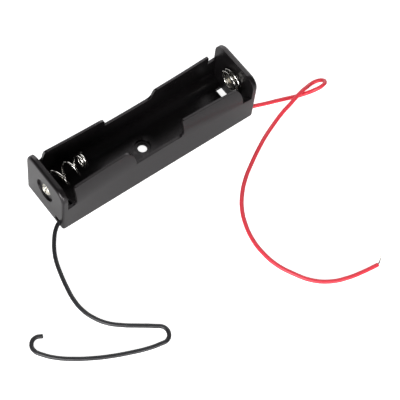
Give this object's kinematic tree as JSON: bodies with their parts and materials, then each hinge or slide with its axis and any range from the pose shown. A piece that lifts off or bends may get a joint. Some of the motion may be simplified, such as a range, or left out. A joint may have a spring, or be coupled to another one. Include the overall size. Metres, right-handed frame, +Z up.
{
  "type": "cylindrical cell holder",
  "caption": "Open-topped plastic holder for a cylindrical cell, with gripping curled side walls, coiled contact springs riveted to its end plates, and a black and a red wire lead.",
  "frame": {"origin": "centre of the housing's underside", "axes": "+X along the holder towards the positive (red lead) end, +Y across it away from the leads' slots, +Z up, out of the open top"},
  "size_m": [0.1366, 0.0886, 0.02],
  "materials": {
    "black_plastic": "satin injection moulding with a fine spark texture",
    "spring_steel": "bright nickel plate",
    "rivet_metal": "dull tin over brass",
    "tag_metal": "tinned",
    "solder": "satin solder",
    "black_insulation": "smooth soft insulation",
    "red_insulation": "smooth soft insulation",
    "tinned_wire": "tinned strands"
  },
  "bodies": {
    "holder": {"housing": "black_plastic", "negative_rivet": "rivet_metal", "positive_rivet": "rivet_metal", "negative_tag": "tag_metal", "positive_tag": "tag_metal", "negative_solder": "solder", "positive_solder": "solder", "black_lead": "black_insulation", "red_lead": "red_insulation", "black_core": "tinned_wire", "red_core": "tinned_wire"},
    "negative_spring": {"negative_spring": "spring_steel"},
    "positive_spring": {"positive_spring": "spring_steel"}
  },
  "joints": [
    {"name": "negative_spring_press", "type": "slide", "parent": "holder", "child": "negative_spring", "axis": [1, 0, 0], "range_m": [-0.01, 0], "stiffness_N_per_m": 300, "deforming": ["negative_spring"]},
    {"name": "positive_spring_press", "type": "slide", "parent": "holder", "child": "positive_spring", "axis": [1, 0, 0], "range_m": [0, 0.0007], "stiffness_N_per_m": 600, "deforming": ["positive_spring"]}
  ]
}
